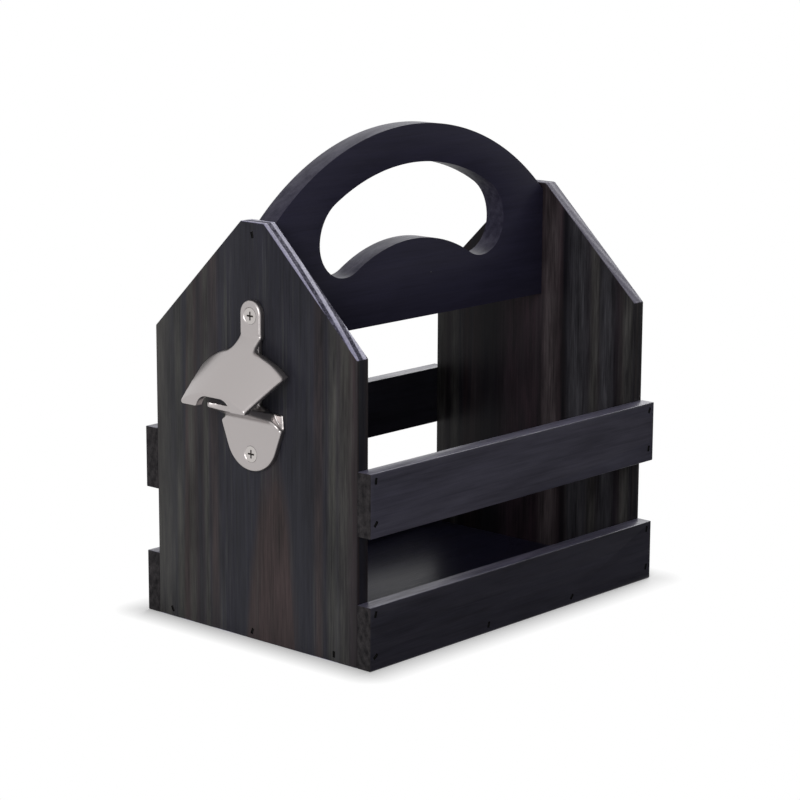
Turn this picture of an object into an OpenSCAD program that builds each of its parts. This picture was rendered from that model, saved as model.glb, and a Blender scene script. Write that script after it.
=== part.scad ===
// Wooden bottle caddy: two gabled end boards, four slats, a base and an arched handle
// board, all nailed together, with a cast bottle opener screwed to the left end.
// The origin is the middle of the footprint at floor level. The length runs along X with
// the opener at the -X end, the width along Y with the front at -Y, and Z is up.

/* [Overall] */
// Length over the outer faces of the two end boards
caddy_l = 228.6; // [205:0.1:270]
// Width over the outer faces of the slats
caddy_w = 158.75; // [145:0.05:190]
// Height from the floor to the top of the handle's arch
caddy_h = 254; // [240:0.5:290]

/* [End boards] */
// Thickness of an end board
end_t = 8; // [7.2:0.1:12]
// Height of an end board's straight edges, up to the foot of its gable
eave_h = 153.6; // [135:0.1:175]
// Drop from the top of the handle's arch to the gable's flat top
gable_drop = 40.3; // [32:0.1:48]
// Width of the gable's flat top
gable_flat_w = 16; // [8:0.5:30]

/* [Slats] */
// Thickness of a slat
slat_t = 8.8; // [6.5:0.1:12]
// Height of a slat
slat_h = 32.4; // [24:0.1:38]
// Gap between a lower slat and the upper one above it
slat_gap = 34.4; // [25:0.1:45]

/* [Base] */
// Thickness of the base board
base_t = 8; // [6:0.1:12]

/* [Handle] */
// Thickness of the handle board
handle_t = 12; // [9:0.1:18]
// Height of the handle board, from its straight lower edge to the top of its arch
handle_h = 102.3; // [98:0.1:116]
// Radius of the arch along the handle's top
arch_r = 150.4; // [143:0.1:170]

/* [Hand hole] */
// Width of the hand hole over its two lobes
hole_w = 144.6; // [130:0.1:156]
// Wood left above the hand hole at the middle of the arch
grip_h = 20; // [15:0.1:25]
// Radius of the hand hole's upper edge
hole_top_r = 122.2; // [112:0.1:135]
// Drop from the top of the hand hole to the level of its lobes' centres
lobe_drop = 36.4; // [33:0.1:40]
// Radius of the lower half of each lobe
lobe_r = 18.3; // [14:0.1:19]
// Rise of the rounded hump between the lobes, above their lowest points
hump_rise = 14.7; // [10:0.1:16]

/* [Bottle opener] */
// Drop from the gable's flat top to the opener's upper end
opener_drop = 38.4; // [30:0.1:55]
// Distance of the opener from the middle of the end board, towards the front
opener_shift = 1.3; // [-8:0.1:8]
// Height of the opener along the wall
opener_l = 86.7; // [84:0.1:95]
// Thickness of the opener's flat plates
plate_t = 3.6; // [3.2:0.1:5]
// Width of the round-ended upper tab
tab_w = 14; // [12.5:0.1:16]
// Width of the web that joins the tab to the lower shield behind the hood
web_w = 11; // [8:0.1:12]
// Distance that the hood reaches out from the wall
hood_reach = 30; // [28:0.1:33]
// Wall thickness of the hood
hood_wall = 2.5; // [2:0.1:3]
// Radius of the hood's conical crown where it leaves the tab
crown_r = 42.2; // [38:0.1:50]
// Half angle of the cone that the crown is part of
crown_half_angle = 17.6; // [16:0.1:19]
// Angle between the wall and the hood's crest
crest_slope = 46.1; // [44:0.1:48]
// Radius of the hood's round shoulders, seen from the front
shoulder_r = 40.9; // [38:0.1:46]
// Width of the hood across its two upper corners
wing_w = 56.4; // [52:0.1:60]
// Width of the hood across its two feet
mouth_w = 43.6; // [42:0.1:48]
// Thickness of the lip round the hood's mouth, measured out from the wall
lip_t = 5; // [3:0.1:6]
// Width of the notch in the middle of the mouth
notch_w = 24; // [20:0.1:26]
// Width of the lower shield
shield_w = 41.8; // [38:0.1:48]
// Height of the shield, from the opener's lower end up to the root of the tongue
shield_h = 31; // [29:0.1:34]
// Radius of the shield's round lower end
shield_r = 17.5; // [15.5:0.1:18.5]
// Distance that the tongue reaches out from the wall at its two horns
tongue_reach = 20.5; // [18:0.1:22]
// Width of the tongue across its horns
tongue_w = 27; // [23:0.1:30]
// Thickness of the tongue at its horns
tongue_t = 2.6; // [2.3:0.1:4]
// Radius of the tongue's hollow front edge, which catches the crimped rim of a cap
tongue_lip_r = 20; // [17:0.1:26]
// Distance between the two mounting screws
screw_pitch = 70; // [68:0.1:71.5]

/* [Fasteners] */
// Radius of a mounting screw's countersunk head
screw_head_r = 4.1; // [3.5:0.05:4.6]
// Radius of a mounting screw's shank
screw_r = 2.1; // [1.6:0.05:2.4]
// Length of a mounting screw
screw_l = 10; // [8:0.1:10.3]
// Length of a brad
brad_l = 20; // [16:0.5:22]
// Width of a brad's shank
brad_w = 1.25; // [0.9:0.05:1.6]
// Thickness of a brad, the same in its shank and its head
brad_t = 1; // [0.7:0.05:1.2]
// Width of a brad's head
brad_head_w = 2.2; // [1.8:0.05:2.6]
// Gap between a fastener and the wall of its hole
hole_clearance = 0.1; // [0.05:0.01:0.15]

/* [Hidden] */

// Colours
stain = [0.13, 0.13, 0.15];
stain_end = [0.17, 0.16, 0.17];
stain_handle = [0.1, 0.1, 0.13];
nickel = [0.7, 0.68, 0.68];
bright_nickel = [0.82, 0.81, 0.79];
dark_steel = [0.08, 0.08, 0.08];

// Length by which a cut runs past the surface that it opens
overrun = 2;
// Facets on a full circle, and steps along an arc in the hood's outline
$fn = 96;
arc_steps = 12;

// The four sides, as signs along X and along Y
left = -1;
right = 1;
front = -1;
rear = 1;

// Inner length and width of the box of boards, and the level of the upper slats
inner_l = caddy_l - 2 * end_t;
inner_w = caddy_w - 2 * slat_t;
upper_slat_z = slat_h + slat_gap;

// Levels of the gable's top, the handle's lower edge and the opener's lower end
gable_z = caddy_h - gable_drop;
handle_z = caddy_h - handle_h;
opener_z = gable_z - opener_drop - opener_l;

// The handle's arch, and the height at which it meets the end boards
arch_z = caddy_h - arch_r;
arch_foot_z = arch_z + sqrt(pow(arch_r, 2) - pow(inner_l / 2, 2));

// The hand hole's edge is a ring of tangent arcs: a wide one along the top, a large
// corner at each end, a lobe below each corner and a hump between the lobes. The radii of
// the corners and the hump follow from tangency.
hole_top_z = caddy_h - grip_h - hole_top_r;
lobe_z = caddy_h - grip_h - lobe_drop;
lobe_x = hole_w / 2 - lobe_r;
lobe_rise = lobe_z - hole_top_z;
corner_r = (pow(hole_top_r, 2) - pow(hole_w / 2, 2) - pow(lobe_rise, 2))
    / (2 * (hole_top_r - hole_w / 2));
corner_x = hole_w / 2 - corner_r;
corner_end_x = corner_x * hole_top_r / (hole_top_r - corner_r);
hump_sink = lobe_r - hump_rise;
hump_r = (pow(lobe_x, 2) + pow(hump_sink, 2) - pow(lobe_r, 2)) / (2 * (lobe_r - hump_sink));
hump_z = lobe_z - hump_sink - hump_r;
lobe_end = [lobe_x, lobe_z] - lobe_r / (lobe_r + hump_r) * [lobe_x, lobe_z - hump_z];

// Places of the brads, as shares of a slat's height, of the base's length along its long
// edges and of its width along its short ones
slat_brad_shares = [0.22, 0.88];
base_edge_brad_shares = [-0.114, 0.21];
base_end_brad_shares = [-0.39, 0.013, 0.43];
// Height of the lower handle brad above the handle's lower edge, and depth of the upper
// one below the point where the arch meets the end board
handle_brad_rise = 7;
handle_brad_drop = 2.7;
// Depth of a brad's head in the wood, length of the head, the largest twist of a brad,
// and how steeply the slats' brads stand when they are seen from outside
brad_set = 0.3;
brad_head_l = 1.2;
brad_twist = 28;
brad_lean = 55;
golden_turn = 137.5;

// Levels of the opener, up from its lower end: the middle of the tab's round end, the
// screws, the crease where the hood leaves the tab, the hood's shoulders and its feet
tab_z = opener_l - tab_w / 2;
screw_drop = 0.9;
crease_drop = 10.6;
neck_l = 6.2;
hood_drop = 33.4;
notch_h = 5.7;
upper_screw_z = tab_z - screw_drop;
lower_screw_z = upper_screw_z - screw_pitch;
crease_z = tab_z - crease_drop;
shoulder_z = crease_z - neck_l - shoulder_r;
foot_z = crease_z - hood_drop;
// Small radii: the fillets at the hood's neck, its rounded wing tips, the corners of the
// notch and the cove below the tongue
neck_r = 4;
wing_tip_r = 2;
notch_r = 7.5;
cove_r = 5;
// The tongue's rise above the level and the slope of its underside
tongue_slope = 15;
underside_slope = 23;
// Thickness of the edge that the shield keeps on the wall at both sides of the tongue
shield_edge_t = 1.2;
// Width of a horn's blunt tip
horn_tip = 1.5;
// Level of the shield's shoulders and width of the tongue's root, as shares of the
// shield's height and width
shield_shoulder_share = 0.74;
tongue_root_share = 0.955;
// Where the tongue's hollow sides start, as a share of the way from a shoulder to the
// root, and their radius as a share of the straight way to the horn
flare_start_share = 0.1;
flare_r_share = 1.05;
// Depth of a screw's head below the plate, and its cross recess
screw_sink = 0.4;
recess_w = 4.4;
recess_t = 0.9;
recess_depth = 1.3;

// The crown's cone: the way from its tip to the crease, its tilt and the place of its tip
crest_l = crown_r / sin(crown_half_angle);
crown_tilt = crest_slope - crown_half_angle;
crown_axis = [sin(crown_tilt), 0, -cos(crown_tilt)];
crown_tip = [plate_t - crest_l * sin(crest_slope), 0, crease_z + crest_l * cos(crest_slope)];

function unit(v) = v / norm(v);

function heading(v) = atan2(v.y, v.x);

// Points along an arc, and the mirror image of an outline's right half
function arc(centre, r, start, end) = [
    for (i = [0:arc_steps])
        let (a = start + (end - start) * i / arc_steps)
        centre + r * [cos(a), sin(a)]
];
function mirrored(points) = [
    for (i = [len(points) - 1:-1:0]) [-points[i].x, points[i].y]
];

// Point where the right-hand tangent from p touches a circle
function tangent_point(centre, r, p) =
    let (d = p - centre, a = atan2(d.y, d.x) - acos(r / norm(d)))
    centre + r * [cos(a), sin(a)];

// Centre of a circle that touches the line from a to b, on its left, and lies inside a
// larger circle that it also touches
function inner_touch(a, b, r, big_centre, big_r) =
    let (
        u = unit(b - a),
        q = a + r * [-u.y, u.x] - big_centre,
        m = q * u,
        t = -m + sqrt(pow(m, 2) - q * q + pow(big_r - r, 2))
    )
    big_centre + q + t * u;

// A piece and its mirror image across the plane x = 0 of a flat outline
module both_sides() {
    children();
    mirror([1, 0, 0]) children();
}

// Places a fastener on an end board's outer face, its axis along X
module on_end(side, y, z, turn = 0) {
    translate([side * caddy_l / 2, y, z])
        rotate([0, side * 90, 0])
            rotate([0, 0, turn])
                children();
}

// Places a fastener on a slat's outer face, its axis along Y
module on_slat(side, x, z, turn = 0) {
    translate([x, side * caddy_w / 2, z])
        rotate([-side * 90, 0, 0])
            rotate([0, 0, turn])
                children();
}

// Puts a front outline of the opener, drawn across and up, at x = 0 and gives it depth
module stand(depth) {
    rotate([90, 0, 90])
        linear_extrude(depth)
            children();
}

// The opener's own frame, X out of the wall and Z up, placed on the left end board
module at_opener() {
    translate([left * caddy_l / 2, front * opener_shift, opener_z])
        rotate([0, 0, 180])
            children();
}

// A brad driven down from z = 0: a flat shank with a wider head
module brad() {
    translate([0, 0, -brad_set - brad_head_l / 2])
        cube([brad_head_w, brad_t, brad_head_l], center = true);
    translate([0, 0, -brad_set - brad_l / 2])
        cube([brad_w, brad_t, brad_l], center = true);
}

// The hole that a brad leaves, open to the surface
module brad_hole() {
    gap = hole_clearance;
    head_l = brad_set + brad_head_l + gap;
    shank_l = brad_set + brad_l + gap;
    translate([0, 0, (overrun - head_l) / 2])
        cube([brad_head_w + 2 * gap, brad_t + 2 * gap, overrun + head_l], center = true);
    translate([0, 0, -shank_l / 2])
        cube([brad_w + 2 * gap, brad_t + 2 * gap, shank_l], center = true);
}

function twist(count) = brad_twist * sin(golden_turn * count);

// Two brads at each end of a slat, into the end boards' edges
module at_slat_brads(side, slat_z, count) {
    for (end = [left, right], i = [0, 1])
        on_slat(
            side,
            end * (caddy_l - end_t) / 2,
            slat_z + slat_brad_shares[i] * slat_h,
            brad_lean + twist(count + end + 2 * i)
        ) children();
}

// Brads through a lower slat into the base's long edge
module at_base_edge_brads(side, count) {
    for (i = [0, 1])
        on_slat(
            side,
            base_edge_brad_shares[i] * inner_l,
            base_t / 2,
            brad_lean + twist(count + i)
        ) children();
}

// Brads through an end board into the base's short edge
module at_base_end_brads(side, count) {
    for (i = [0:2])
        on_end(side, base_end_brad_shares[i] * inner_w, base_t / 2, twist(count + i))
            children();
}

// Brads through an end board into the handle's end, one low and one under the gable
module at_handle_brads(side, count) {
    low_z = handle_z + handle_brad_rise;
    high_z = min(arch_foot_z, gable_z) - handle_brad_drop;
    levels = [low_z, high_z];
    for (i = [0, 1])
        on_end(side, 0, levels[i], twist(count + i)) children();
}

module end_outline() {
    polygon([
        [-inner_w / 2, 0],
        [inner_w / 2, 0],
        [inner_w / 2, eave_h],
        [gable_flat_w / 2, gable_z],
        [-gable_flat_w / 2, gable_z],
        [-inner_w / 2, eave_h]
    ]);
}

module end_board(side) {
    difference() {
        translate([side * (caddy_l - end_t) / 2 - end_t / 2, 0, 0])
            stand(end_t) end_outline();
        at_slat_brads(front, 0, 0) brad_hole();
        at_slat_brads(front, upper_slat_z, 5) brad_hole();
        at_slat_brads(rear, 0, 10) brad_hole();
        at_slat_brads(rear, upper_slat_z, 15) brad_hole();
        at_base_end_brads(side, 20 + 3 * side) brad_hole();
        at_handle_brads(side, 30 + 2 * side) brad_hole();
    }
}

module left_end_board() {
    color(stain_end)
        difference() {
            end_board(left);
            at_opener_screws() screw_hole();
        }
}

module right_end_board() {
    color(stain_end) end_board(right);
}

module slat(side, slat_z, count) {
    difference() {
        translate([-caddy_l / 2, side * (caddy_w - slat_t) / 2 - slat_t / 2, slat_z])
            cube([caddy_l, slat_t, slat_h]);
        at_slat_brads(side, slat_z, count) brad_hole();
        if (slat_z < base_t) at_base_edge_brads(side, 40 + 3 * side) brad_hole();
    }
}

module front_lower_slat() {
    color(stain) slat(front, 0, 0);
}

module front_upper_slat() {
    color(stain) slat(front, upper_slat_z, 5);
}

module rear_lower_slat() {
    color(stain) slat(rear, 0, 10);
}

module rear_upper_slat() {
    color(stain) slat(rear, upper_slat_z, 15);
}

module base_board() {
    color(stain)
        difference() {
            translate([-inner_l / 2, -inner_w / 2, 0])
                cube([inner_l, inner_w, base_t]);
            for (side = [left, right]) {
                at_base_end_brads(side, 20 + 3 * side) brad_hole();
                at_base_edge_brads(side, 40 + 3 * side) brad_hole();
            }
        }
}

// Upper part of the hand hole: the wide arc between the two large corners
module hole_top() {
    intersection() {
        union() {
            intersection() {
                translate([0, hole_top_z]) circle(r = hole_top_r);
                translate([-corner_end_x, lobe_z])
                    square([2 * corner_end_x, hole_top_r]);
            }
            both_sides() translate([corner_x, lobe_z]) circle(r = corner_r);
        }
        translate([-hole_w, lobe_z]) square([2 * hole_w, hole_top_r]);
    }
}

// Lower part of the hand hole: a lobe at each side of the hump
module hole_bottom() {
    intersection() {
        both_sides() translate([lobe_x, lobe_z]) circle(r = lobe_r);
        translate([-hole_w, lobe_z - lobe_r]) square([2 * hole_w, lobe_r]);
    }
    difference() {
        polygon([
            [-lobe_x, lobe_z],
            [-lobe_end.x, lobe_end.y],
            [0, hump_z],
            lobe_end,
            [lobe_x, lobe_z]
        ]);
        translate([0, hump_z]) circle(r = hump_r);
    }
}

module hand_hole() {
    hole_top();
    hole_bottom();
}

module handle_board() {
    color(stain_handle)
        difference() {
            rotate([90, 0, 0])
                linear_extrude(handle_t, center = true)
                    intersection() {
                        translate([-inner_l / 2, handle_z])
                            square([inner_l, handle_h]);
                        translate([0, arch_z]) circle(r = arch_r);
                    }
            rotate([90, 0, 0])
                linear_extrude(handle_t + 2 * overrun, center = true)
                    hand_hole();
            at_handle_brads(left, 30 + 2 * left) brad_hole();
            at_handle_brads(right, 30 + 2 * right) brad_hole();
            at_opener_screws() screw_hole();
        }
}

// Tab with its round upper end, seen from the front
module tab_outline() {
    translate([0, tab_z]) circle(d = tab_w);
    translate([-tab_w / 2, crease_z]) square([tab_w, tab_z - crease_z]);
}

// Hood seen from the front: a neck, round shoulders, wings and sides that draw in
module hood_outline() {
    wing = [wing_w / 2, shoulder_z + sqrt(pow(shoulder_r, 2) - pow(wing_w / 2, 2))];
    foot = [mouth_w / 2, foot_z];
    side = unit(wing - foot);
    middle = [0, shoulder_z];
    tip = inner_touch(foot, wing, wing_tip_r, middle, shoulder_r);
    fillet = [
        tab_w / 2 + neck_r,
        shoulder_z + sqrt(pow(shoulder_r + neck_r, 2) - pow(tab_w / 2 + neck_r, 2))
    ];
    tip_turn = heading(tip - middle);
    neck_turn = heading(fillet - middle);
    half = concat(
        [foot],
        arc(tip, wing_tip_r, heading([side.y, -side.x]), tip_turn),
        arc(middle, shoulder_r, tip_turn, neck_turn),
        arc(fillet, neck_r, 180 + neck_turn, 180),
        [[tab_w / 2, crease_z]]
    );
    polygon(concat(half, mirrored(half)));
}

// Solid cone of the crown, with its surface moved in by a wall thickness
module crown(wall) {
    h = crest_l + opener_l;
    translate(crown_tip + wall / sin(crown_half_angle) * crown_axis)
        rotate([0, 180 - crown_tilt, 0])
            cylinder(h = h, r1 = 0, r2 = h * tan(crown_half_angle));
}

// Arched notch in the lip, seen from the front: a level top between two round corners
module notch_outline() {
    bend_z = foot_z + notch_h - notch_r;
    bend_x = notch_w / 2 - sqrt(pow(notch_r, 2) - pow(notch_r - notch_h, 2));
    translate([-bend_x, bend_z]) square([2 * bend_x, notch_r]);
    both_sides() translate([bend_x, bend_z]) circle(r = notch_r);
}

// Flared hood: a conical shell with a lip across its mouth
module hood() {
    difference() {
        intersection() {
            crown(0);
            stand(hood_reach) hood_outline();
        }
        intersection() {
            crown(hood_wall);
            translate([-overrun, -wing_w, 0])
                cube([overrun + hood_reach - lip_t, 2 * wing_w, opener_l]);
        }
        translate([hood_reach - lip_t - overrun, 0, 0])
            stand(lip_t + 2 * overrun) notch_outline();
    }
}

// Corners of the shield and the tongue seen from the front
shoulder = [shield_w / 2, shield_shoulder_share * shield_h];
root = [tongue_root_share * shield_w / 2, shield_h];
horn = [tongue_w / 2, shield_h + tongue_reach * tan(tongue_slope)];

// Lower shield seen from the front: a round end, spreading sides and two shoulders
module shield_outline() {
    middle = [0, shield_r];
    low = tangent_point(middle, shield_r, shoulder);
    translate(middle) circle(r = shield_r);
    polygon([
        [-low.x, low.y], low, shoulder, root, [-root.x, root.y], [-shoulder.x, shoulder.y]
    ]);
}

// Side view of the tongue: it rises from the shield and has a cove below it
module tongue_profile() {
    cove_x = plate_t + cove_r;
    cove_z = horn.y - tongue_t - (tongue_reach - cove_x) * tan(underside_slope)
        - cove_r / cos(underside_slope);
    difference() {
        polygon([
            [0, cove_z],
            [cove_x, cove_z],
            [cove_x - cove_r * sin(underside_slope), cove_z + cove_r * cos(underside_slope)],
            [tongue_reach, horn.y - tongue_t],
            [tongue_reach, horn.y],
            [0, shield_h]
        ]);
        translate([cove_x, cove_z]) circle(r = cove_r);
    }
}

// The tongue before its sides are cut, with a hollow front edge between its two horns
module tongue() {
    lip_x = tongue_reach + sqrt(pow(tongue_lip_r, 2) - pow(horn.x - horn_tip, 2));
    difference() {
        rotate([90, 0, 0])
            linear_extrude(2 * root.x, center = true)
                tongue_profile();
        translate([lip_x, 0, 0]) cylinder(r = tongue_lip_r, h = opener_l);
    }
}

// Shield and tongue: hollow sides lead from the shoulders up to the horns, and beside
// them only a thin edge is left on the wall
module shield() {
    start = shoulder + flare_start_share * (root - shoulder);
    way = horn - start;
    flare_r = flare_r_share * norm(way);
    flare_middle = (start + horn) / 2
        + unit([way.y, -way.x]) * sqrt(pow(flare_r, 2) - pow(norm(way) / 2, 2));
    difference() {
        union() {
            stand(plate_t) shield_outline();
            tongue();
        }
        translate([shield_edge_t, 0, 0])
            stand(tongue_reach)
                both_sides() translate(flare_middle) circle(r = flare_r);
    }
}

// Half section of a screw, or of its hole when the gap is more than zero. The flat top of
// the head is at height zero, and the hole's countersink runs on upwards.
module screw_section(gap, rise) {
    rim = screw_head_r + gap * sqrt(2);
    shank = screw_r + gap;
    polygon([
        [0, -screw_l - gap],
        [shank, -screw_l - gap],
        [shank, shank - rim],
        [rim + rise, rise],
        [0, rise]
    ]);
}

module screw() {
    difference() {
        rotate_extrude() screw_section(0, 0);
        for (a = [0, 90])
            rotate([0, 0, a])
                cube([recess_w, recess_t, 2 * recess_depth], center = true);
    }
}

module screw_hole() {
    rotate_extrude() screw_section(hole_clearance, overrun);
}

// Places a screw at each end of the opener, with its head up and out of the wall
module at_opener_screws() {
    at_opener()
        for (z = [lower_screw_z, upper_screw_z])
            translate([plate_t - screw_sink, 0, z])
                rotate([0, 90, 0])
                    children();
}

module bottle_opener() {
    color(nickel)
        difference() {
            at_opener() {
                stand(plate_t) tab_outline();
                translate([0, -web_w / 2, shield_h / 2])
                    cube([plate_t, web_w, crease_z - shield_h / 2]);
                shield();
                hood();
            }
            at_opener_screws() screw_hole();
        }
}

module opener_screws() {
    color(bright_nickel) at_opener_screws() screw();
}

module front_lower_slat_brads() {
    color(dark_steel) at_slat_brads(front, 0, 0) brad();
}

module front_upper_slat_brads() {
    color(dark_steel) at_slat_brads(front, upper_slat_z, 5) brad();
}

module rear_lower_slat_brads() {
    color(dark_steel) at_slat_brads(rear, 0, 10) brad();
}

module rear_upper_slat_brads() {
    color(dark_steel) at_slat_brads(rear, upper_slat_z, 15) brad();
}

module front_base_brads() {
    color(dark_steel) at_base_edge_brads(front, 40 + 3 * front) brad();
}

module rear_base_brads() {
    color(dark_steel) at_base_edge_brads(rear, 40 + 3 * rear) brad();
}

module left_base_brads() {
    color(dark_steel) at_base_end_brads(left, 20 + 3 * left) brad();
}

module right_base_brads() {
    color(dark_steel) at_base_end_brads(right, 20 + 3 * right) brad();
}

module left_handle_brads() {
    color(dark_steel) at_handle_brads(left, 30 + 2 * left) brad();
}

module right_handle_brads() {
    color(dark_steel) at_handle_brads(right, 30 + 2 * right) brad();
}

left_end_board();
right_end_board();
base_board();
handle_board();
front_lower_slat();
front_upper_slat();
rear_lower_slat();
rear_upper_slat();
bottle_opener();
opener_screws();
front_lower_slat_brads();
front_upper_slat_brads();
rear_lower_slat_brads();
rear_upper_slat_brads();
front_base_brads();
rear_base_brads();
left_base_brads();
right_base_brads();
left_handle_brads();
right_handle_brads();
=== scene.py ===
import math
import random

import bmesh
import bpy
from mathutils import Matrix, Vector


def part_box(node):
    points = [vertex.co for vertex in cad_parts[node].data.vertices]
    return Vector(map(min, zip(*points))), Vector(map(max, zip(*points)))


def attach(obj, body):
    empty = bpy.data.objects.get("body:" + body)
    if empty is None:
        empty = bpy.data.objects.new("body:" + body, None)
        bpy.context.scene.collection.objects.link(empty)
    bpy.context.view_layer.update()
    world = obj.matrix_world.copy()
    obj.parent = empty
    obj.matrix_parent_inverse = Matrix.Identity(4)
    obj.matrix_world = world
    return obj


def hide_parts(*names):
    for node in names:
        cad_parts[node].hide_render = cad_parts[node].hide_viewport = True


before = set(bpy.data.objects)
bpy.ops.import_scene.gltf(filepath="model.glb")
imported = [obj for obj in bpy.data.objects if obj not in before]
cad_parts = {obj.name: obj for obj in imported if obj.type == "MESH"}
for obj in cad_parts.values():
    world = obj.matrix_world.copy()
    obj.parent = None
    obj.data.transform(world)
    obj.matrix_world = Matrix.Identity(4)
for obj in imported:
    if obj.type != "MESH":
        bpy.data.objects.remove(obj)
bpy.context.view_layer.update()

# Camera and studio: the caddy stands on white paper, seen from above its near left corner
# through a long lens. One soft lamp hangs over its far side and one stands to its left. A
# black card, seen only in reflections, keeps the front faces dark.
mm = 0.001
bearing = math.radians(48.18)
pitch = math.radians(-12.04)
tilt = math.radians(0.27)
camera_place = (-0.9928, -0.8841, 0.3901)
focal_pixels = 2554.5
image_pixels = 800
ahead = Vector(
    (
        math.cos(pitch) * math.sin(bearing),
        math.cos(pitch) * math.cos(bearing),
        math.sin(pitch),
    )
)
level = Vector((math.cos(bearing), -math.sin(bearing), 0))
across = Matrix.Rotation(-tilt, 3, ahead) @ level
upward = across.cross(ahead)
view_turn = Matrix((across, upward, -ahead)).transposed().to_4x4()
lens = bpy.data.cameras.new("camera")
lens.lens = focal_pixels * lens.sensor_width / image_pixels
camera = bpy.data.objects.new("camera", lens)
camera.matrix_world = Matrix.Translation(camera_place) @ view_turn
bpy.context.scene.collection.objects.link(camera)
bpy.context.scene.camera = camera
bpy.context.scene.view_settings.view_transform = "Standard"


class Value:
    """A value that varies over a surface: a node's output, with sums written as Python."""

    def __init__(self, finish, socket):
        self.finish = finish
        self.socket = socket

    def __add__(self, other):
        return self.finish.maths("ADD", self, other)

    def __sub__(self, other):
        return self.finish.maths("SUBTRACT", self, other)

    def __rsub__(self, other):
        return self.finish.maths("SUBTRACT", other, self)

    def __mul__(self, other):
        return self.finish.maths("MULTIPLY", self, other)

    __radd__ = __add__
    __rmul__ = __mul__


class Finish:
    """The nodes of one material, with one way to add a node to them."""

    def __init__(self, tree):
        self.tree = tree
        tree.nodes.clear()

    def node(self, kind, settings=None, inputs=None, out=0):
        """Adds a node: its settings are made first, then the values or links of its sockets."""
        added = self.tree.nodes.new(kind)
        for name, setting in (settings or {}).items():
            if name == "stops":
                ramp = added.color_ramp
                while len(ramp.elements) < len(setting):
                    ramp.elements.new(0.5)
                for element, (place, shade) in zip(ramp.elements, setting):
                    element.position = place
                    element.color = (shade, shade, shade, 1)
            else:
                setattr(added, name, setting)
        for name, value in (inputs or {}).items():
            if isinstance(value, Value):
                self.tree.links.new(value.socket, added.inputs[name])
            else:
                added.inputs[name].default_value = value
        return Value(self, added.outputs[out]) if added.outputs else None

    def maths(self, operation, *terms):
        return self.node("ShaderNodeMath", {"operation": operation}, dict(enumerate(terms)))


def new_material(name):
    material = bpy.data.materials.new(name)
    material.use_nodes = True
    return material, Finish(material.node_tree)


white = (1, 1, 1, 1)
ambient_level = 0.13
world = bpy.data.worlds.new("studio")
world.use_nodes = True
bpy.context.scene.world = world
sky = Finish(world.node_tree)
camera_ray = sky.node("ShaderNodeLightPath", out="Is Camera Ray")
glossy_ray = sky.node("ShaderNodeLightPath", out="Is Glossy Ray")
clear_ray = sky.node("ShaderNodeLightPath", out="Is Transmission Ray")
seen = sky.maths("MAXIMUM", camera_ray, sky.maths("MAXIMUM", glossy_ray, clear_ray))
ambient = sky.node("ShaderNodeBackground", inputs={"Color": white, "Strength": ambient_level})
backdrop = sky.node("ShaderNodeBackground", inputs={"Color": white, "Strength": 1.0})
shown_sky = sky.node("ShaderNodeMixShader", inputs={0: seen, 1: ambient, 2: backdrop})
sky.node("ShaderNodeOutputWorld", inputs={"Surface": shown_sky})


def softbox(name, place, target, width, height, watts):
    """A rectangular soft lamp that faces the target, all in metres."""
    light = bpy.data.lights.new(name, "AREA")
    light.shape = "RECTANGLE"
    light.size = width
    light.size_y = height
    light.energy = watts
    holder = bpy.data.objects.new(name, light)
    aim = (Vector(target) - Vector(place)).to_track_quat("-Z", "Y")
    holder.matrix_world = Matrix.Translation(place) @ aim.to_matrix().to_4x4()
    bpy.context.scene.collection.objects.link(holder)


softbox("far_softbox", (0.95, 0.2, 1.0), (0, 0, 0.15), width=1.0, height=1.0, watts=11)
softbox("left_softbox", (-1.25, -0.62, 0.56), (0, 0, 0.12), width=0.5, height=1.0, watts=11)


def lay_sheet(name, half_width, centre, material):
    """A flat square sheet under or beside the caddy, which isn't part of it."""
    sheet = bmesh.new()
    bmesh.ops.create_grid(sheet, x_segments=1, y_segments=1, size=half_width)
    bmesh.ops.translate(sheet, verts=sheet.verts, vec=centre)
    data = bpy.data.meshes.new(name)
    sheet.to_mesh(data)
    sheet.free()
    data.materials.append(material)
    laid = bpy.data.objects.new(name, data)
    bpy.context.scene.collection.objects.link(laid)
    return laid


# Close round the caddy the paper takes its shadow, and further out it is plain white
near_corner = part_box("front_lower_slat")[0]
sweep_half = 12
sweep_drop = 0.2 * mm
shadow_reach = 18 * mm
paper_tint = (0.8, 0.8, 0.8, 1)
paper_glow = 0.23
sweep_white, nodes = new_material("white_sweep")
paper = nodes.node("ShaderNodeBsdfDiffuse", inputs={"Color": paper_tint})
glow = nodes.node("ShaderNodeEmission", inputs={"Color": white, "Strength": paper_glow})
bright = nodes.node("ShaderNodeEmission", inputs={"Color": white, "Strength": 1.0})
shaded = nodes.node("ShaderNodeAddShader", inputs={0: paper, 1: glow})
place = nodes.node("ShaderNodeTexCoord", out="Object")
aside = nodes.node("ShaderNodeVectorMath", {"operation": "ABSOLUTE"}, {0: place})
footprint = (-near_corner.x, -near_corner.y, 1)
beyond = nodes.node("ShaderNodeVectorMath", {"operation": "SUBTRACT"}, {0: aside, 1: footprint})
beyond = nodes.node("ShaderNodeVectorMath", {"operation": "MAXIMUM"}, {0: beyond, 1: (0, 0, 0)})
reach = nodes.node("ShaderNodeVectorMath", {"operation": "LENGTH"}, {0: beyond}, out="Value")
fade = nodes.node("ShaderNodeMapRange", inputs={"Value": reach, "From Max": shadow_reach})
backed = nodes.node("ShaderNodeMixShader", inputs={0: fade, 1: shaded, 2: bright})
shown = nodes.node("ShaderNodeLightPath", out="Is Camera Ray")
mirrored = nodes.node("ShaderNodeLightPath", out="Is Glossy Ray")
looked_at = nodes.maths("MAXIMUM", shown, mirrored)
sweep = nodes.node("ShaderNodeMixShader", inputs={0: looked_at, 1: paper, 2: backed})
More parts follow.
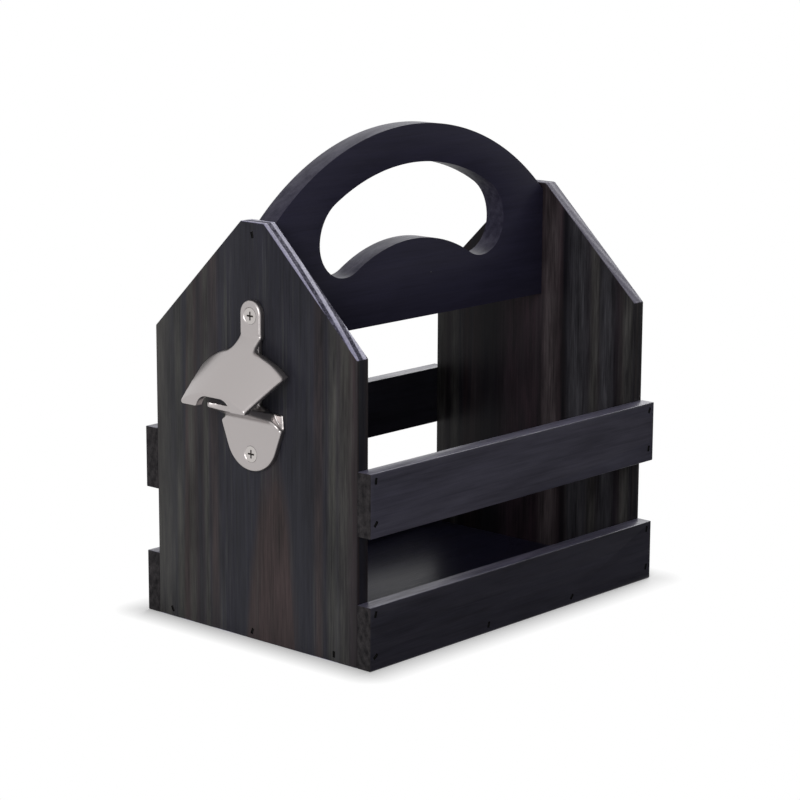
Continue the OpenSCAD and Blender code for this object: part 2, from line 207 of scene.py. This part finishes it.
nodes.node("ShaderNodeOutputMaterial", inputs={"Surface": sweep})
lay_sheet("sweep", sweep_half, (0, 0, -sweep_drop), sweep_white)

# The card lies in front of the caddy, from its near left corner on, just above the paper
card_half = 0.8
card_gap = 0.3 * mm
card_lift = 0.5 * mm
card_tint = (0.03, 0.03, 0.03, 1)
card_black, nodes = new_material("black_card")
dark = nodes.node("ShaderNodeBsdfDiffuse", inputs={"Color": card_tint})
nodes.node("ShaderNodeOutputMaterial", inputs={"Surface": dark})
card_centre = (near_corner.x + card_half, near_corner.y - card_gap - card_half, card_lift)
card = lay_sheet("black_card", card_half, card_centre, card_black)
card.visible_camera = False
card.visible_diffuse = False
card.visible_shadow = False


# End boards: two flat-sawn pine boards, 8 mm thick with the grain upright, cut to a gable
# and stained black. Their edges are eased with sandpaper. The stain sinks unevenly into
# the growth rings, so brown, olive and bluish streaks show through it. On the right board
# some streaks are also painted light and painted shade.
dust_tint = (0.19, 0.18, 0.16, 1)
# A pale lavender for upward faces: partly wear, partly painted sheen of the light from above
upward_wear_and_sheen_tint = (0.12, 0.112, 0.175, 1)


def wood(
    name, grain, heart, tints, cut_tints, streaks=(), arch=None,
    ring=4.5, start=0.0, taper=0.006, cut_rings=1.0, seed=1, contrast=1.0, bands=1.0,
    patches=0.2, cut_coat=0.9, top_wear_and_sheen=0.0, matt=0.36, gloss=0.13, dust=1.0,
):
    """Black-stained pine, worked out in mm on the log that the board was sawn from.

    The grain runs along X or Z, and heart is where the middle of the log lay. The tints
    are the stain on early wood, on late wood and on pale lines, and cut_tints are the
    dark and the light bands of sawn ends. A streak has its place across the board, half
    its width and its tint. The arch is a pointed figure: its middle, half its width at
    the foot, its height and its tint.

    ring is the width of a growth ring, start shifts the rings by a part of one, taper is
    what the log widens for each mm of its length, and cut_rings is how many bands a ring
    shows on sawn ends. contrast is the strength of the lines and clouds, bands and
    patches are those of the marks on sawn ends, cut_coat is the sheen there, and the
    argument after it sets how far upward faces take a pale tint, partly as wear and partly
    as painted sheen of the light from above. matt is the roughness, gloss the shine and
    dust the size of the specks. seed gives each board a pattern of its own.
    """
    material, nodes = new_material(name)
    place = nodes.node("ShaderNodeTexCoord", out="Object")
    log = nodes.node(
        "ShaderNodeMapping",
        inputs={
            "Vector": place,
            "Rotation": (0, math.radians(-90), 0) if grain == "X" else (0, 0, 0),
            "Scale": (1 / mm, 1 / mm, 1 / mm),
            "Location": (-heart[0], -heart[1], 0),
        },
    )

    def scaled(vector, factors):
        return nodes.node("ShaderNodeVectorMath", {"operation": "MULTIPLY"}, {0: vector, 1: factors})

    def noise(across, along, detail, roughness=0.5, turn=0):
        """Noise with features so many mm wide across and along the grain."""
        return nodes.node(
            "ShaderNodeTexNoise",
            {"noise_dimensions": "4D"},
            {
                "Vector": scaled(log, (1 / across, 1 / across, 1 / along)),
                "W": seed * 3.7 + turn,
                "Scale": 1.0,
                "Detail": detail,
                "Roughness": roughness,
            },
        )

    def ramp(value, *stops):
        return nodes.node("ShaderNodeValToRGB", {"stops": stops}, {0: value})

    def between(low, high, value):
        """Rises smoothly from 0 at low to 1 at high."""
        return nodes.node(
            "ShaderNodeMapRange",
            {"interpolation_type": "SMOOTHSTEP"},
            {"Value": value, "From Min": low, "From Max": high},
        )

    def blend(share, low, high, mode="MIX"):
        settings = {"data_type": "RGBA", "blend_type": mode, "clamp_factor": True}
        return nodes.node("ShaderNodeMix", settings, {0: share, 6: low, 7: high}, out=2)

    def facing(direction):
        normal = nodes.node("ShaderNodeTexCoord", out="Normal")
        settings = {"operation": "DOT_PRODUCT"}
        return nodes.node("ShaderNodeVectorMath", settings, {0: normal, 1: direction}, out="Value")

    # The growth rings, and where each place lies between one ring and the next
    flat = scaled(log, (1, 1, 0))
    radius = nodes.node("ShaderNodeVectorMath", {"operation": "LENGTH"}, {0: flat}, out="Value")
    height = nodes.node("ShaderNodeSeparateXYZ", inputs={0: log}, out="Z")
    sway = noise(across=40, along=260, detail=1) - 0.5
    ripple = noise(across=7, along=90, detail=2, turn=5) - 0.5
    wander = (sway + ripple) * 0.3
    rings = (radius + height * taper + wander) * (1 / ring) + start
    phase = nodes.maths("FRACT", rings)
    late = ramp(phase, (0.0, 1.0), (0.03, 0.0), (0.45, 0.08), (0.8, 0.75), (1.0, 1.0))

    # The ways in which the stain takes unevenly, each from 0 to 1
    fibre = ramp(noise(across=0.7, along=22, detail=4, roughness=0.65, turn=1), (0.3, 0.0), (0.7, 1.0))
    line = ramp(noise(across=1.9, along=75, detail=3, roughness=0.62, turn=2), (0.5, 0.0), (0.7, 1.0))
    dark_line = ramp(noise(across=1.6, along=60, detail=2, roughness=0.6, turn=3), (0.5, 0.0), (0.72, 1.0))
    cloud = ramp(noise(across=12, along=70, detail=2, turn=4), (0.36, 0.0), (0.64, 1.0))
    blotch = ramp(noise(across=4.5, along=32, detail=3, roughness=0.6, turn=8), (0.34, 0.0), (0.66, 1.0))

    # The board's faces
    cool, warm, pale = ((*tint, 1) for tint in tints)
    face = blend(late * 0.85, cool, warm)
    face = blend(line * (0.2 + cloud * 0.6) * contrast, face, pale)
    side = nodes.node("ShaderNodeSeparateXYZ", inputs={0: place}, out="Y") * (1 / mm) + wander * 6
    for middle, half, tint in streaks:
        gap = nodes.maths("ABSOLUTE", side - middle)
        share = between(half * 1.5, half * 0.3, gap)
        face = blend(share * (0.25 + fibre * 0.35 + blotch * 0.55), face, (*tint, 1))
    if arch:
        middle, half, peak, tint = arch
        gap = (side - middle) * (1 / half)
        share = between(-0.06, 0.06, 1 - (gap * gap + height * (1 / peak)))
        face = blend(share * (0.4 + fibre * 0.3 + blotch * 0.3), face, (*tint, 1))
    uneven = (fibre - 0.5) * 0.5 + (cloud - 0.5) * 0.4 + (blotch - 0.5) * 0.4 - dark_line * 0.35
    grey = 1 + uneven * contrast
    shade = nodes.node("ShaderNodeCombineColor", inputs={0: grey, 1: grey, 2: grey})
    face = blend(1.0, face, shade, "MULTIPLY")

    # The sawn ends, where the rings are cut across
    along = facing((1, 0, 0) if grain == "X" else (0, 0, 1))
    end = ramp(nodes.maths("ABSOLUTE", along), (0.3, 0.0), (0.62, 1.0))
    pores = ramp(noise(across=0.8, along=1.3, detail=3, roughness=0.7, turn=6), (0.36, 0.0), (0.64, 1.0))
    torn = ramp(noise(across=3.4, along=5, detail=4, roughness=0.65, turn=7), (0.36, 0.0), (0.64, 1.0))
    cut_phase = nodes.maths("FRACT", rings * cut_rings)
    band = ramp(cut_phase, (0.0, 1.0), (0.12, 1.0), (0.2, 0.0), (0.62, 0.0), (0.74, 1.0), (1.0, 1.0))
    cut = 0.5 + (band - 0.5) * bands + (pores - 0.5) * (0.12 + bands * 0.25) + (torn - 0.5) * patches
    cut = nodes.maths("MINIMUM", nodes.maths("MAXIMUM", cut, 0.0), 1.0)
    stain = blend(end, face, blend(cut, *((*tint, 1) for tint in cut_tints)))

    # Specks of pale dust, and upward faces tinted pale: partly wear, partly painted sheen from above
    speck = nodes.node(
        "ShaderNodeTexVoronoi",
        {"voronoi_dimensions": "4D"},
        {"Vector": scaled(log, (0.075, 0.075, 0.075)), "W": seed * 1.3, "Scale": 1.0},
        out="Distance",
    )
    stain = blend(ramp(speck, (0.018 * dust, 0.7), (0.03 * dust, 0.0)), stain, dust_tint)
    top = ramp(facing((0, 0, 1)), (0.5, 0.0), (0.9, 1.0)) * top_wear_and_sheen
    wear_and_sheen = top * (0.15 + blotch * 0.5 + fibre * 0.55)
    stain = blend(wear_and_sheen, stain, upward_wear_and_sheen_tint)

    relief = nodes.node(
        "ShaderNodeBump",
        inputs={
            "Strength": 0.3,
            "Distance": 0.15 * mm,
            "Height": fibre * 0.4 + late * 0.2 + end * (pores * 1.2 + cut * 0.5),
        },
    )
    shader = nodes.node(
        "ShaderNodeBsdfPrincipled",
        inputs={
            "Base Color": stain,
            "Roughness": matt + fibre * 0.12 + end * (0.42 - cut * 0.32),
            "Specular IOR Level": gloss,
            "Coat Weight": end * cut * cut_coat + wear_and_sheen * 1.4,
            "Coat Roughness": 0.32,
            "Normal": relief,
        },
    )
    nodes.node("ShaderNodeOutputMaterial", inputs={"Surface": shader})
    return material


def sooty(name, tones, roughness, gloss, metallic):
    """Something near black and grainy; tones and roughness go from least to most."""
    material, nodes = new_material(name)
    place = nodes.node("ShaderNodeTexCoord", out="Object")
    grain = nodes.node("ShaderNodeTexNoise", inputs={"Vector": place, "Scale": 2500, "Detail": 3})
    tone = tones[0] + grain * (tones[1] - tones[0])
    shader = nodes.node(
        "ShaderNodeBsdfPrincipled",
        inputs={
            "Base Color": nodes.node("ShaderNodeCombineColor", inputs={0: tone, 1: tone, 2: tone}),
            "Metallic": metallic,
            "Roughness": roughness[0] + grain * (roughness[1] - roughness[0]),
            "Specular IOR Level": gloss,
        },
    )
    nodes.node("ShaderNodeOutputMaterial", inputs={"Surface": shader})
    return material


# Each pocket in the wood over a sunk brad is lined in near black
pocket_lining = sooty("pocket_lining_black", (0.002, 0.007), (0.75, 0.95), gloss=0.05, metallic=0.0)
pocket_size = (3.2 * mm, 1.7 * mm, 0.9 * mm)
pocket_rise = 0.3 * mm
ragged_length = 0.16
ragged_width = 0.13
brad_weld = 0.01 * mm
head_band = 0.05 * mm


def brad_pockets(groups, axis, outward):
    """A cutter for the small ragged pockets over the sunk heads of these brads."""
    cutter = bmesh.new()
    chance = random.Random(len(groups[0]))
    scrap = bpy.data.meshes.new("pocket")
    for group in groups:
        brads = bmesh.new()
        brads.from_mesh(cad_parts[group].data)
        bmesh.ops.remove_doubles(brads, verts=brads.verts, dist=brad_weld)
        reach = max(v.co[axis] * outward for v in brads.verts)
        corners = [v.co.copy() for v in brads.verts if v.co[axis] * outward > reach - head_band]
        brads.free()
        while corners:
            head = sorted(corners, key=lambda corner: (corner - corners[0]).length)[:4]
            corners = [corner for corner in corners if corner not in head]
            middle = sum(head, Vector()) / 4
            length = (head[2] - head[0]).normalized()
            normal = Vector([outward if i == axis else 0 for i in range(3)])
            stand = Matrix((length, normal.cross(length), normal)).transposed().to_4x4()
            middle[axis] = outward * (reach + pocket_rise)
            block = bmesh.new()
            bmesh.ops.create_cube(block, size=1)
            bmesh.ops.subdivide_edges(block, edges=block.edges, cuts=2, use_grid_fill=True)
            bmesh.ops.scale(block, verts=block.verts, vec=pocket_size)
            for vertex in block.verts:
                vertex.co.x += chance.uniform(-ragged_length, ragged_length) * mm
                vertex.co.y += chance.uniform(-ragged_width, ragged_width) * mm
            bmesh.ops.transform(block, matrix=Matrix.Translation(middle) @ stand, verts=block.verts)
            block.to_mesh(scrap)
            block.free()
            cutter.from_mesh(scrap)
    for face in cutter.faces:
        face.material_index = 1
    return cutter


def link_board(name, shape, material):
    """Makes an object of a closed shape, in the wood and with the near-black pocket lining."""
    bmesh.ops.recalc_face_normals(shape, faces=shape.faces)
    data = bpy.data.meshes.new(name)
    shape.to_mesh(data)
    shape.free()
    data.materials.append(material)
    data.materials.append(pocket_lining)
    board = bpy.data.objects.new(name, data)
    bpy.context.scene.collection.objects.link(board)
    return board


crease = math.radians(35)


def finish_board(shape, name, node, material, marks=()):
    """Cuts the brad pockets and makes the piece that stands for a board's CAD node."""
    board = link_board(name, shape, material)
    for groups, axis, outward in marks:
        tool = link_board("pockets", brad_pockets(groups, axis, outward), material)
        cut = board.modifiers.new("pockets", "BOOLEAN")
        cut.operation = "DIFFERENCE"
        cut.solver = "EXACT"
        cut.object = tool
        evaluated = board.evaluated_get(bpy.context.evaluated_depsgraph_get())
        data = bpy.data.meshes.new_from_object(evaluated)
        board.modifiers.remove(cut)
        board.data = data
        bpy.data.objects.remove(tool)
    for face in board.data.polygons:
        face.use_smooth = True
    board.data.set_sharp_from_angle(angle=crease)
    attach(board, "root")
    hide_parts(node)


def ease(shape, edges, width):
    """Rounds edges over as sandpaper does."""
    bmesh.ops.bevel(
        shape, geom=list(edges), offset=width, segments=3, profile=0.5, affect="EDGES",
        material=-1, clamp_overlap=True,
    )


eave_height = 153.6 * mm
peak_half = 8 * mm
end_easing = 0.45 * mm
olive = (0.049, 0.048, 0.044)
brown = (0.038, 0.029, 0.03)
blue = (0.018, 0.018, 0.024)
soot = (0.0045, 0.0042, 0.0062)
umber = (0.014, 0.0092, 0.011)
# On the right board wine stands partly for shade, and tan and slate partly for light: painted shade and
# painted light.
shaded_wine = (0.022, 0.0135, 0.0175)
lit_tan = (0.056, 0.046, 0.049)
moss = (0.05, 0.048, 0.0465)
lit_slate = (0.048, 0.0465, 0.053)
end_stain = {
    "left": wood(
        "stained_pine_left_end", "Z", (-355, -13),
        tints=((0.019, 0.0188, 0.027), (0.043, 0.03, 0.0295), (0.052, 0.0525, 0.049)),
        # The bands follow the growth rings; the pale tint of the light band is painted sheen of the lamp
        # on the sloped ends.
        cut_tints=((0.032, 0.03, 0.048), (0.33, 0.315, 0.46)),
        streaks=[
            (66, 7, olive), (54, 3, olive), (45, 2.5, olive), (34, 2, olive), (39, 1.5, blue),
            (28, 3, brown), (10, 5, blue), (-33, 8, blue), (-45, 3, brown), (-54, 3, olive),
            (-62, 4, olive), (-74, 5, soot),
        ],
        arch=(-15, 13, 84, (0.048, 0.033, 0.0335)),
        ring=8, start=0.83, taper=0.008, cut_rings=1.5, seed=2, bands=0.8, cut_coat=0.75,
    ),
    "right": wood(
        "stained_pine_right_end", "Z", (350, 10),
        tints=((0.0115, 0.0105, 0.0145), (0.021, 0.0155, 0.0175), (0.035, 0.033, 0.0345)),
        # The bands follow the growth rings; the pale tint of the light band is painted sheen of the lamp
        # on the sloped ends.
        cut_tints=((0.09, 0.084, 0.115), (0.19, 0.18, 0.235)),
        # Besides the stain, these streaks paint light and shade on the inner face: tan and slate are
        # painted light on its near part, wine painted shade in its middle.
        streaks=[
            (68, 4, moss), (57, 3, moss), (48, 3, umber), (31, 10, soot), (6, 16, shaded_wine),
            (-15, 7, shaded_wine), (-13, 6, lit_tan), (-23, 2, soot), (-33, 7, lit_slate), (-44, 3, moss),
            (-52, 5, lit_slate), (-66, 4, moss),
        ],
        start=0.2, seed=7, bands=0.3, patches=0.1, cut_coat=0.6, gloss=0.07,
    ),
}
for side, outward in (("left", -1), ("right", 1)):
    low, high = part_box(side + "_end_board")
    shape = bmesh.new()
    corners = [
        (low.x, low.y, 0), (low.x, high.y, 0), (low.x, high.y, eave_height),
        (low.x, peak_half, high.z), (low.x, -peak_half, high.z), (low.x, low.y, eave_height),
    ]
    face = shape.faces.new([shape.verts.new(corner) for corner in corners])
    wall = bmesh.ops.extrude_face_region(shape, geom=[face])["geom"]
    moved = [part for part in wall if isinstance(part, bmesh.types.BMVert)]
    bmesh.ops.translate(shape, verts=moved, vec=(high.x - low.x, 0, 0))
    ease(shape, shape.edges, end_easing)
    finish_board(
        shape, side + "_gable", side + "_end_board", end_stain[side],
        [([side + "_base_brads"], 0, outward), ([side + "_handle_brads"], 0, outward)],
    )

# Base board: one flat board with its grain along the caddy, let in flush between the end
# boards and the lower slats and nailed from all four sides.
base_easing = 0.3 * mm


def sawn_board(low, high, easing):
    """A plain board that fills a box, with its edges eased."""
    shape = bmesh.new()
    bmesh.ops.create_cube(shape, size=1)
    bmesh.ops.scale(shape, verts=shape.verts, vec=high - low)
    bmesh.ops.translate(shape, verts=shape.verts, vec=(high + low) / 2)
    ease(shape, shape.edges, easing)
    return shape


base_stain = wood(
    "stained_pine_base", "X", (-160, 12),
    tints=((0.011, 0.0105, 0.024), (0.013, 0.012, 0.0235), (0.017, 0.017, 0.028)),
    cut_tints=((0.012, 0.011, 0.012), (0.03, 0.027, 0.03)),
    start=0.3, taper=0.012, seed=11, contrast=0.6, bands=0.3, cut_coat=0.0, matt=0.26, gloss=0.1,
)
base_shape = sawn_board(*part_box("base_board"), base_easing)
finish_board(base_shape, "base_floor", "base_board", base_stain)

# Slats: four pine laths, two to a side, as long as the caddy and nailed over the edges of
# the end boards, so their end grain shows at both ends. Each slat's stain is scaled for
# the light it gets, so that painted shade darkens the lower and the rear slats.
slat_easing = 0.4 * mm
slat_tints = ((0.0425, 0.0407, 0.0585), (0.046, 0.0435, 0.06), (0.053, 0.052, 0.067))
# The last number scales each slat's stain: painted light and shade, darkest on the lower and the rear
# slats.
slats = (
    ("front", "lower", -1, 0.55),
    ("front", "upper", -1, 1.05),
    ("rear", "lower", 1, 0.5),
    ("rear", "upper", 1, 0.6),
)
for count, (side, row, outward, painted_light_level) in enumerate(slats):
    node = f"{side}_{row}_slat"
    slat_stain = wood(
        "stained_pine_" + node, "X", (-60 - 25 * count, outward * (150 + 30 * count)),
        tints=[[part * painted_light_level for part in tint] for tint in slat_tints],
        cut_tints=((0.006, 0.0055, 0.0065), (0.034, 0.03, 0.032)),
        start=0.35 * count, taper=0.01, seed=20 + count, contrast=0.6, bands=0.2, patches=0.7,
        cut_coat=0.0, top_wear_and_sheen=0.8,
    )
    groups = [node + "_brads"] if row == "upper" else [node + "_brads", side + "_base_brads"]
    finish_board(
        sawn_board(*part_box(node), slat_easing), f"{side}_{row}_lath", node, slat_stain,
        [(groups, 1, outward)],
    )

# Handle board: a thicker board, sawn to an arch and pierced for the hand, sanded smoother
# than the rest. It is nailed through the end boards. Its hand hole, drawn in mm, has a
# wide arc above, a lobe at each side and a hump between the lobes.
crown_height = 254
arch_radius = 150.4
grip = 20
hole_width = 144.6
top_radius = 122.2
lobe_drop = 36.4
lobe_radius = 18.3
hump_rise = 14.7
handle_easing = 0.7 * mm
low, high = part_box("handle_board")
arch_z = crown_height - arch_radius
top_z = crown_height - grip - top_radius
lobe_z = crown_height - grip - lobe_drop
hole_half = hole_width / 2
lobe_x = hole_half - lobe_radius
lift = lobe_z - top_z
corner_radius = (top_radius**2 - hole_half**2 - lift**2) / (2 * (top_radius - hole_half))
corner_x = hole_half - corner_radius
sink = lobe_radius - hump_rise
hump_radius = (lobe_x**2 + sink**2 - lobe_radius**2) / (2 * (lobe_radius - sink))
hump_z = lobe_z - sink - hump_radius


def arc(centre, radius, start, end, steps):
    """Points along an arc, both ends included; angles in degrees."""
    turns = [math.radians(start + (end - start) * i / steps) for i in range(steps + 1)]
    return [(centre[0] + radius * math.cos(a), centre[1] + radius * math.sin(a)) for a in turns]


foot_turn = math.degrees(math.acos(high.x / mm / arch_radius))
outer = [(low.x / mm, low.z / mm), (high.x / mm, low.z / mm)]
outer += arc((0, arch_z), arch_radius, foot_turn, 180 - foot_turn, steps=90)
lift_turn = math.degrees(math.atan2(lift, corner_x))
fall_turn = math.degrees(math.atan2(lobe_z - hump_z, lobe_x))
half = arc((0, hump_z), hump_radius, 90, fall_turn, steps=24)[:-1]
half += arc((lobe_x, lobe_z), lobe_radius, fall_turn - 180, 0, steps=30)[:-1]
half += arc((corner_x, lobe_z), corner_radius, 0, lift_turn, steps=18)[:-1]
half += arc((0, top_z), top_radius, lift_turn, 90, steps=30)
inner = half + [(-a, b) for a, b in reversed(half[1:-1])]

shape = bmesh.new()
loops = []
for outline in (outer, inner):
    loop = [shape.verts.new((a * mm, low.y, b * mm)) for a, b in outline]
    loops += [shape.edges.new((v, loop[(i + 1) % len(loop)])) for i, v in enumerate(loop)]
filled = bmesh.ops.triangle_fill(shape, use_beauty=True, edges=loops)["geom"]
faces = [part for part in filled if isinstance(part, bmesh.types.BMFace)]
wall = bmesh.ops.extrude_face_region(shape, geom=faces)["geom"]
moved = [part for part in wall if isinstance(part, bmesh.types.BMVert)]
bmesh.ops.translate(shape, verts=moved, vec=(0, high.y - low.y, 0))
bmesh.ops.recalc_face_normals(shape, faces=shape.faces)
sharp_turn = 0.8
walled = [edge for edge in shape.edges if len(edge.link_faces) == 2]
ease(shape, [edge for edge in walled if edge.calc_face_angle(0) > sharp_turn], handle_easing)
handle_stain = wood(
    "stained_pine_handle", "X", (-150, -90),
    tints=((0.0205, 0.019, 0.037), (0.0215, 0.0197, 0.0375), (0.0245, 0.0238, 0.039)),
    cut_tints=((0.015, 0.0137, 0.026), (0.04, 0.0365, 0.06)),
    start=0.1, taper=0.01, seed=31, contrast=0.4, bands=0.15, patches=0.5, cut_coat=0.1,
    top_wear_and_sheen=0.27, gloss=0.08, dust=1.5,
)
finish_board(shape, "handle_arch", "handle_board", handle_stain)

# Brads: thin steel nails with flat heads, driven below the surface and stained over with
# the wood, so that each shows as a small dark slit.
dark_steel = sooty("stained_steel", (0.003, 0.009), (0.6, 0.9), gloss=0.1, metallic=0.3)
for node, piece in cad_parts.items():
    if node.endswith("_brads"):
        piece.data.materials.clear()
        piece.data.materials.append(dark_steel)

# Bottle opener: one casting in satin nickel, with a round-ended tab, a flared hood that
# holds the cap down and a lower shield whose tongue lifts the cap's rim. Its edges are
# rounded over and tumbled smooth.
nickel_tint = (0.43, 0.4, 0.395, 1)
nickel, nodes = new_material("satin_nickel")
place = nodes.node("ShaderNodeTexCoord", out="Object")
cloud = nodes.node("ShaderNodeTexNoise", inputs={"Vector": place, "Scale": 60, "Detail": 3})
fine = nodes.node("ShaderNodeTexNoise", inputs={"Vector": place, "Scale": 1800, "Detail": 3})
grain = fine + cloud * 2
relief = nodes.node("ShaderNodeBump", inputs={"Strength": 0.06, "Distance": 0.1 * mm, "Height": grain})
plating = nodes.node(
    "ShaderNodeBsdfPrincipled",
    inputs={
        "Base Color": nickel_tint,
        "Metallic": 1.0,
        "Roughness": 0.24 + cloud * 0.1 + fine * 0.06,
        "Normal": relief,
    },
)
nodes.node("ShaderNodeOutputMaterial", inputs={"Surface": plating})

screw_head_radius = 4.1 * mm
hole_reach = 5 * mm
rim_width = 1.1 * mm
skin_grain = 0.36 * mm
tumbling = 9
cast_weld = 0.002 * mm
flat_turn = math.radians(0.3)
faces_front = 0.3
faces_side = 0.12
cast = bmesh.new()
cast.from_mesh(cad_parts["bottle_opener"].data)
bmesh.ops.remove_doubles(cast, verts=cast.verts, dist=cast_weld)
bmesh.ops.dissolve_limit(cast, angle_limit=flat_turn, verts=cast.verts, edges=cast.edges)
screw_low, screw_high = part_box("opener_screws")
screw_y = (screw_low.y + screw_high.y) / 2
screws_z = (screw_low.z + screw_head_radius, screw_high.z - screw_head_radius)


def on_rim(edge):
    """True where a front face meets a side wall, but not at the screw holes."""
    if len(edge.link_faces) != 2 or not edge.is_convex:
        return False
    front, side = sorted(face.normal.x for face in edge.link_faces)
    middle = (edge.verts[0].co + edge.verts[1].co) / 2
    at_hole = any(math.hypot(middle.y - screw_y, middle.z - z) < hole_reach for z in screws_z)
    return front < -faces_front and abs(side) < faces_side and not at_hole


rims = [edge for edge in cast.edges if on_rim(edge)]
bmesh.ops.bevel(
    cast, geom=rims, offset=rim_width, segments=2, profile=0.5, affect="EDGES", material=-1,
    clamp_overlap=False,
)
data = bpy.data.meshes.new("opener_casting")
cast.to_mesh(data)
cast.free()
data.materials.append(nickel)
casting = bpy.data.objects.new("opener_casting", data)
bpy.context.scene.collection.objects.link(casting)
skin = casting.modifiers.new("cast_skin", "REMESH")
skin.mode = "VOXEL"
skin.voxel_size = skin_grain
skin.use_smooth_shade = True
tumbled = casting.modifiers.new("tumbled_edges", "SMOOTH")
tumbled.factor = 0.5
tumbled.iterations = tumbling
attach(casting, "root")
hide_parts("bottle_opener")

# Opener screws: two flat-head screws in brighter nickel, turned down flush into the
# casting. Painted shade darkens the bottom of their cross recesses.
shade_start_depth = 0.4 * mm
full_shade_depth = 1.2 * mm
screw_plate_tint = (0.52, 0.49, 0.475, 1)
recess_shade_tint = (0.05, 0.045, 0.04, 1)
bright_nickel, nodes = new_material("bright_nickel")
place = nodes.node("ShaderNodeTexCoord", out="Object")
fine = nodes.node("ShaderNodeTexNoise", inputs={"Vector": place, "Scale": 900, "Detail": 3})
# Deeper into the cross recess the plating is painted darker, as shade.
depth = nodes.node("ShaderNodeSeparateXYZ", inputs={0: place}, out="X") - screw_low.x
recess_shade = nodes.node(
    "ShaderNodeMapRange", inputs={"Value": depth, "From Min": shade_start_depth, "From Max": full_shade_depth}
)
plated = nodes.node("ShaderNodeMix", {"data_type": "RGBA"}, {0: recess_shade, 6: screw_plate_tint, 7: recess_shade_tint}, out=2)
plating = nodes.node(
    "ShaderNodeBsdfPrincipled",
    inputs={"Base Color": plated, "Metallic": 1.0, "Roughness": 0.2 + fine * 0.16},
)
nodes.node("ShaderNodeOutputMaterial", inputs={"Surface": plating})
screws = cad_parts["opener_screws"]
screws.data.materials.clear()
screws.data.materials.append(bright_nickel)
